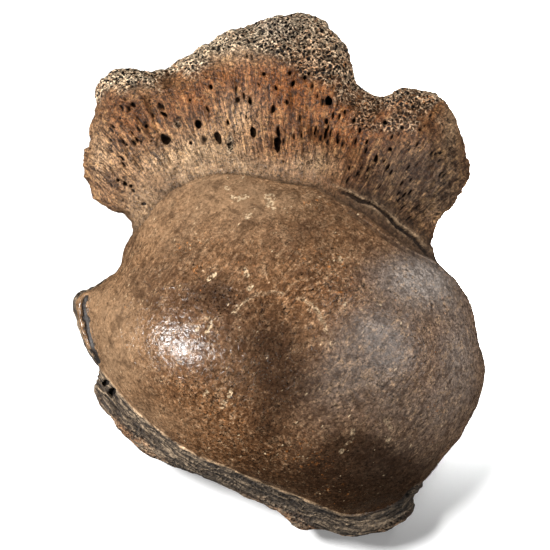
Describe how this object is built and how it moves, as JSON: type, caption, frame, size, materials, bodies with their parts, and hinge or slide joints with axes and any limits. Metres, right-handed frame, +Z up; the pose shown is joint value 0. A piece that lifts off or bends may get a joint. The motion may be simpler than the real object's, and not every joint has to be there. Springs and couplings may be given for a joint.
{
  "type": "fossil mammoth hip joint ball with neck and broken crest",
  "caption": "Life-size fossil ball of a mammoth's hip joint with its neck and spongy broken crest, lying on its broken underside.",
  "frame": {"origin": "middle of the bone's bounding box, on the plane that its broken underside rests on", "axes": "+X to the viewer's right, +Y towards the broken crest, +Z up, away from the surface that the bone lies on"},
  "size_m": [0.1858, 0.233, 0.1164],
  "materials": {
    "fossil_bone": "brown fossil bone, waxed on the ball, dull and porous on the crest"
  },
  "bodies": {
    "root": {"hip_bone": "fossil_bone"}
  },
  "joints": []
}
